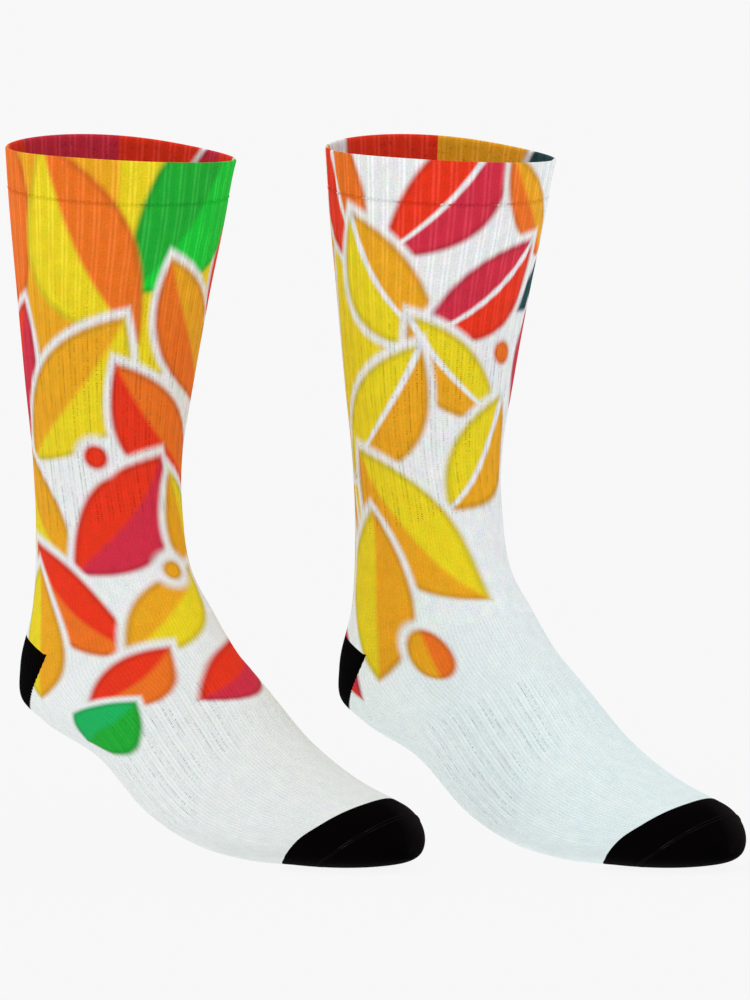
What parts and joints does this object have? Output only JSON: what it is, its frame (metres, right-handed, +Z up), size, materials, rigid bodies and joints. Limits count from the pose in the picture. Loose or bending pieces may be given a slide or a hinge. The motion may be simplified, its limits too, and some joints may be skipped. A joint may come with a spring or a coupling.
{
  "type": "pair of socks",
  "caption": "Crew socks with a ribbed leg, plain foot and contrasting heel and toe, filled out as worn and open at the cuff.",
  "frame": {"origin": "centre of the first sock's leg opening, where the leg holds the sock up", "axes": "+X points to the toes, +Z up the leg and out of the opening; both socks point the same way and the second stands 156 mm from the first, turned 42 degrees from +X towards +Y"},
  "size_m": [0.3646, 0.216, 0.3454],
  "materials": {
    "printed_knit_1": "matte ribbed cotton knit, printed in red-orange, amber and green",
    "printed_knit_2": "matte ribbed cotton knit, printed in amber, red and teal",
    "foot_knit_1": "matte plain knit, off-white",
    "foot_knit_2": "matte plain knit, pale blue-green white",
    "black_knit": "matte plain knit, black"
  },
  "bodies": {
    "root": {"sock_1_cuff": "printed_knit_1", "sock_1_leg": "printed_knit_1", "sock_1_ankle": "printed_knit_1", "sock_1_heel": "black_knit", "sock_1_foot": "foot_knit_1", "sock_1_toe": "black_knit", "sock_2_cuff": "printed_knit_2", "sock_2_leg": "printed_knit_2", "sock_2_ankle": "printed_knit_2", "sock_2_heel": "black_knit", "sock_2_foot": "foot_knit_2", "sock_2_toe": "black_knit"}
  },
  "joints": []
}
